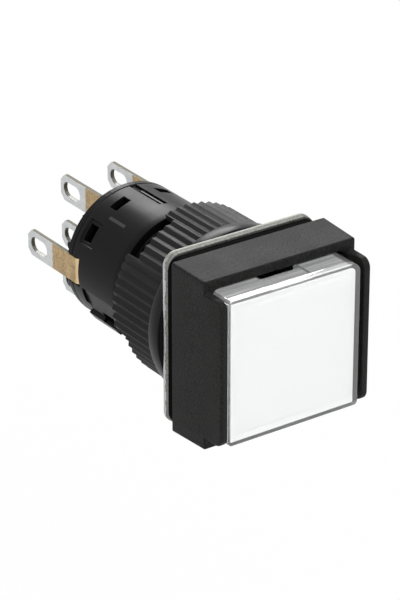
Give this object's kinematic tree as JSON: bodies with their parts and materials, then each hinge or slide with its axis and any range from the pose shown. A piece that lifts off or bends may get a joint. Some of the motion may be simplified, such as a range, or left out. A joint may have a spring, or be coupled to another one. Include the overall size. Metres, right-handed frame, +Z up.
{
  "type": "self locking push switch",
  "caption": "Panel push switch with a square illuminated button between two guards, a fluted fixing nut and a round contact block with flat blade terminals.",
  "frame": {"origin": "centre of the square head's rear face, on the switch's axis, where the panel's outside surface sits", "axes": "+Y along the axis into the panel, from the button to the terminals; +Z up, +X to the right as seen from the front, where the button faces -Y"},
  "size_m": [0.0182, 0.0365, 0.0182],
  "materials": {
    "satin_black": "fine satin moulding",
    "clear_lens": "clear polished",
    "white_diffuser": "smooth milky white",
    "gasket_rubber": "matt",
    "zinc_steel": "bright zinc plated",
    "tinned_brass": "tinned tips over bare brass",
    "spring_steel": "drawn wire",
    "slider_plastic": "natural moulding",
    "lamp_body": "milky moulding"
  },
  "bodies": {
    "housing": {"head_and_barrel": "satin_black", "panel_gasket": "gasket_rubber", "contact_housing": "satin_black", "terminal_base": "satin_black", "led_lamp": "lamp_body", "lamp_socket": "satin_black", "return_spring": "spring_steel", "terminal_closed_left": "tinned_brass", "terminal_closed_right": "tinned_brass", "terminal_common_left": "tinned_brass", "terminal_common_right": "tinned_brass", "terminal_open_left": "tinned_brass", "terminal_open_right": "tinned_brass", "lamp_terminal_left": "tinned_brass", "lamp_terminal_right": "tinned_brass"},
    "button": {"lens_cap": "clear_lens", "diffuser_plate": "white_diffuser", "button_holder": "satin_black"},
    "slider": {"contact_slider": "slider_plastic"},
    "contact_left": {"moving_contact_left": "tinned_brass"},
    "contact_right": {"moving_contact_right": "tinned_brass"},
    "latch": {"latch_pin": "spring_steel"},
    "plate": {"anti_rotation_plate": "zinc_steel"},
    "nut": {"fixing_nut": "satin_black"}
  },
  "joints": [
    {"name": "button_push", "type": "slide", "parent": "housing", "child": "button", "axis": [0, 1, 0], "range_m": [0, 0.0028], "stiffness_N_per_m": 500, "springref_m": -0.002, "deforming": ["return_spring"]},
    {"name": "slider_follow", "type": "slide", "parent": "housing", "child": "slider", "axis": [0, 1, 0], "range_m": [0, 0.0028]},
    {"name": "contact_left_swing", "type": "hinge", "parent": "housing", "child": "contact_left", "pos_m": [-0.0024, 0.0174, 0], "axis": [1, 0, 0], "range_deg": [0, 12]},
    {"name": "contact_right_swing", "type": "hinge", "parent": "housing", "child": "contact_right", "pos_m": [0.0024, 0.0174, 0], "axis": [1, 0, 0], "range_deg": [0, 12]},
    {"name": "latch_swing", "type": "hinge", "parent": "housing", "child": "latch", "pos_m": [0, 0.0134, -0.006], "axis": [0, 0, -1], "range_deg": [0, 5.5]},
    {"name": "plate_slide", "type": "slide", "parent": "housing", "child": "plate", "axis": [0, 1, 0], "range_m": [0, 0.006]},
    {"name": "nut_turn", "type": "hinge", "parent": "plate", "child": "nut", "pos_m": [0, 0.002, 0], "axis": [0, 1, 0], "range_deg": [0, 2160]}
  ],
  "couplings": [
    {"joint": "slider_follow", "follows": "button_push", "ratio": 1},
    {"joint": "contact_left_swing", "follows": "button_push", "rad_per_m": 74.7},
    {"joint": "contact_right_swing", "follows": "button_push", "rad_per_m": 74.7},
    {"joint": "latch_swing", "follows": "button_push", "rad_per_m": 34},
    {"joint": "nut_turn", "follows": "plate_slide", "rad_per_m": 6283}
  ]
}
